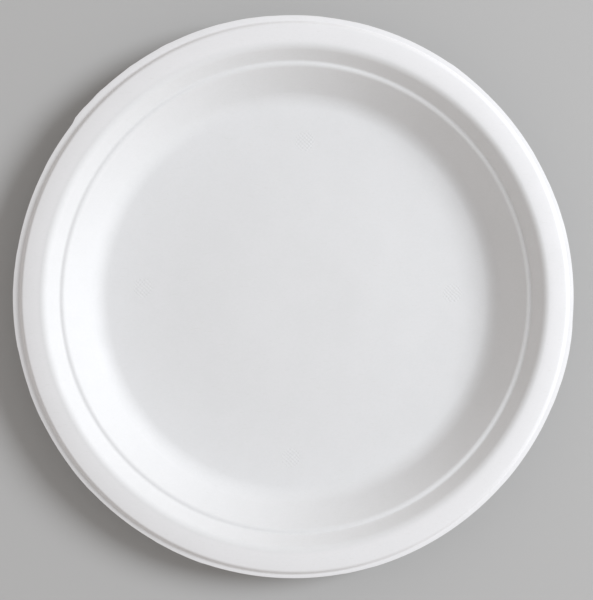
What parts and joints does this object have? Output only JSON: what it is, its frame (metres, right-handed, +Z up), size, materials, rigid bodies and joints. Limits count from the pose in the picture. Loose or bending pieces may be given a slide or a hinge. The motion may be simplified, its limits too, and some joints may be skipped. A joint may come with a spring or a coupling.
{
  "type": "paper plate",
  "caption": "Round plate pressed from plant fibre: shallow crowned base, sloped wall with a narrow stacking ledge, gently arched rim and a thin sloping lip.",
  "frame": {"origin": "on the table under the middle of the plate, on its axis", "axes": "+Z up along the axis of the round plate; +X and +Y across it, in the plane of the table"},
  "size_m": [0.228, 0.228, 0.019],
  "materials": {
    "pressed_fibre": "matt uncoated moulded fibre, with a very soft sheen on the pressed food side"
  },
  "bodies": {
    "root": {"plate": "pressed_fibre"}
  },
  "joints": []
}
